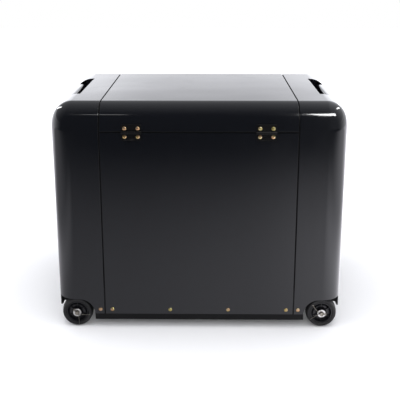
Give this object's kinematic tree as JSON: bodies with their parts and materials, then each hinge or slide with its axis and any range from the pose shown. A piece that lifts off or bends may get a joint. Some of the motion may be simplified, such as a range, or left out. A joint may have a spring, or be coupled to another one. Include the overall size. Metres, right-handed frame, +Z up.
{
  "type": "solar suitcase kit",
  "caption": "Wheeled steel power case with rounded end caps, shoulder grips, a rear-hinged lid, side charging inlet, control deck, batteries, inverter and charge controller.",
  "frame": {"origin": "under the middle of the case, on the plane the wheels stand on", "axes": "+Z up, +X along the case's width from end cap to end cap, -Y towards the rear face that carries the hinges"},
  "size_m": [0.716, 0.5736, 0.554],
  "materials": {
    "gloss_charcoal": "gloss clear coat over charcoal paint",
    "black_steel": "satin black powder coat",
    "yellow_zinc": "yellow zinc plate, satin",
    "tyre_rubber": "matt black rubber",
    "wheel_plastic": "moulded black plastic",
    "bright_steel": "zinc-plated steel",
    "black_plastic": "fine-grained black plastic",
    "grey_plastic": "moulded dark grey plastic",
    "aluminium": "extruded, bead-blasted",
    "seal_rubber": "matt cellular rubber"
  },
  "bodies": {
    "case": {"rear_panel": "gloss_charcoal", "front_panel": "gloss_charcoal", "end_cap_right": "gloss_charcoal", "end_cap_left": "gloss_charcoal", "grip_right": "gloss_charcoal", "grip_left": "gloss_charcoal", "base_pan": "black_steel", "hoop_right": "black_steel", "hoop_left": "black_steel", "hinge_leaf_case_left": "black_steel", "hinge_leaf_case_right": "black_steel", "hinge_pin_left": "black_steel", "hinge_pin_right": "black_steel", "hinge_screw_case_left_outer": "yellow_zinc", "hinge_screw_case_left_inner": "yellow_zinc", "hinge_screw_case_right_outer": "yellow_zinc", "hinge_screw_case_right_inner": "yellow_zinc", "washer_rear_left": "bright_steel", "washer_rear_right": "bright_steel", "washer_front_left": "bright_steel", "washer_front_right": "bright_steel", "split_pin_rear_left": "bright_steel", "split_pin_rear_right": "bright_steel", "split_pin_front_left": "bright_steel", "split_pin_front_right": "bright_steel", "axle_left": "bright_steel", "axle_right": "bright_steel", "inlet_socket": "black_plastic", "vent_cowl_right": "black_plastic", "vent_cowl_left": "black_plastic", "control_deck": "black_plastic", "switch_frame": "black_plastic", "battery_rear": "grey_plastic", "battery_front": "grey_plastic", "outlet_plate": "grey_plastic", "inverter": "aluminium", "charge_controller": "aluminium", "lid_seal": "seal_rubber"},
    "lid": {"lid_shell": "gloss_charcoal", "lid_frame": "black_steel", "hinge_leaf_lid_left": "black_steel", "hinge_leaf_lid_right": "black_steel", "hinge_screw_lid_left_outer": "yellow_zinc", "hinge_screw_lid_left_inner": "yellow_zinc", "hinge_screw_lid_right_outer": "yellow_zinc", "hinge_screw_lid_right_inner": "yellow_zinc"},
    "wheel_rear_left": {"tyre_rear_left": "tyre_rubber", "wheel_hub_rear_left": "wheel_plastic"},
    "wheel_rear_right": {"tyre_rear_right": "tyre_rubber", "wheel_hub_rear_right": "wheel_plastic"},
    "wheel_front_left": {"tyre_front_left": "tyre_rubber", "wheel_hub_front_left": "wheel_plastic"},
    "wheel_front_right": {"tyre_front_right": "tyre_rubber", "wheel_hub_front_right": "wheel_plastic"},
    "lock_left": {"lock_knob_left": "black_plastic", "lock_tongue_left": "bright_steel"},
    "lock_right": {"lock_knob_right": "black_plastic", "lock_tongue_right": "bright_steel"},
    "flap": {"inlet_flap": "black_plastic"},
    "rocker": {"switch_rocker": "black_plastic"}
  },
  "joints": [
    {"name": "lid_hinge", "type": "hinge", "parent": "case", "child": "lid", "pos_m": [0, -0.2823, 0.4905], "axis": [1, 0, 0], "range_deg": [0, 100]},
    {"name": "wheel_rear_left_spin", "type": "hinge", "parent": "case", "child": "wheel_rear_left", "pos_m": [-0.3, -0.253, 0.0375], "axis": [0, 1, 0], "continuous": true},
    {"name": "wheel_rear_right_spin", "type": "hinge", "parent": "case", "child": "wheel_rear_right", "pos_m": [0.3, -0.253, 0.0375], "axis": [0, 1, 0], "continuous": true},
    {"name": "wheel_front_left_spin", "type": "hinge", "parent": "case", "child": "wheel_front_left", "pos_m": [-0.3, 0.253, 0.0375], "axis": [0, 1, 0], "continuous": true},
    {"name": "wheel_front_right_spin", "type": "hinge", "parent": "case", "child": "wheel_front_right", "pos_m": [0.3, 0.253, 0.0375], "axis": [0, 1, 0], "continuous": true},
    {"name": "lock_left_turn", "type": "hinge", "parent": "case", "child": "lock_left", "pos_m": [-0.155, 0.27, 0.458], "axis": [0, -1, 0], "range_deg": [0, 90]},
    {"name": "lock_right_turn", "type": "hinge", "parent": "case", "child": "lock_right", "pos_m": [0.155, 0.27, 0.458], "axis": [0, 1, 0], "range_deg": [0, 90]},
    {"name": "flap_hinge", "type": "hinge", "parent": "case", "child": "flap", "pos_m": [0.3523, -0.158, 0.387], "axis": [0, -1, 0], "range_deg": [0, 100], "stiffness_Nm_per_rad": 0.02, "springref_deg": -20.05},
    {"name": "rocker_tilt", "type": "hinge", "parent": "case", "child": "rocker", "pos_m": [-0.12, 0.095, 0.416], "axis": [-1, 0, 0], "range_deg": [0, 16]}
  ]
}
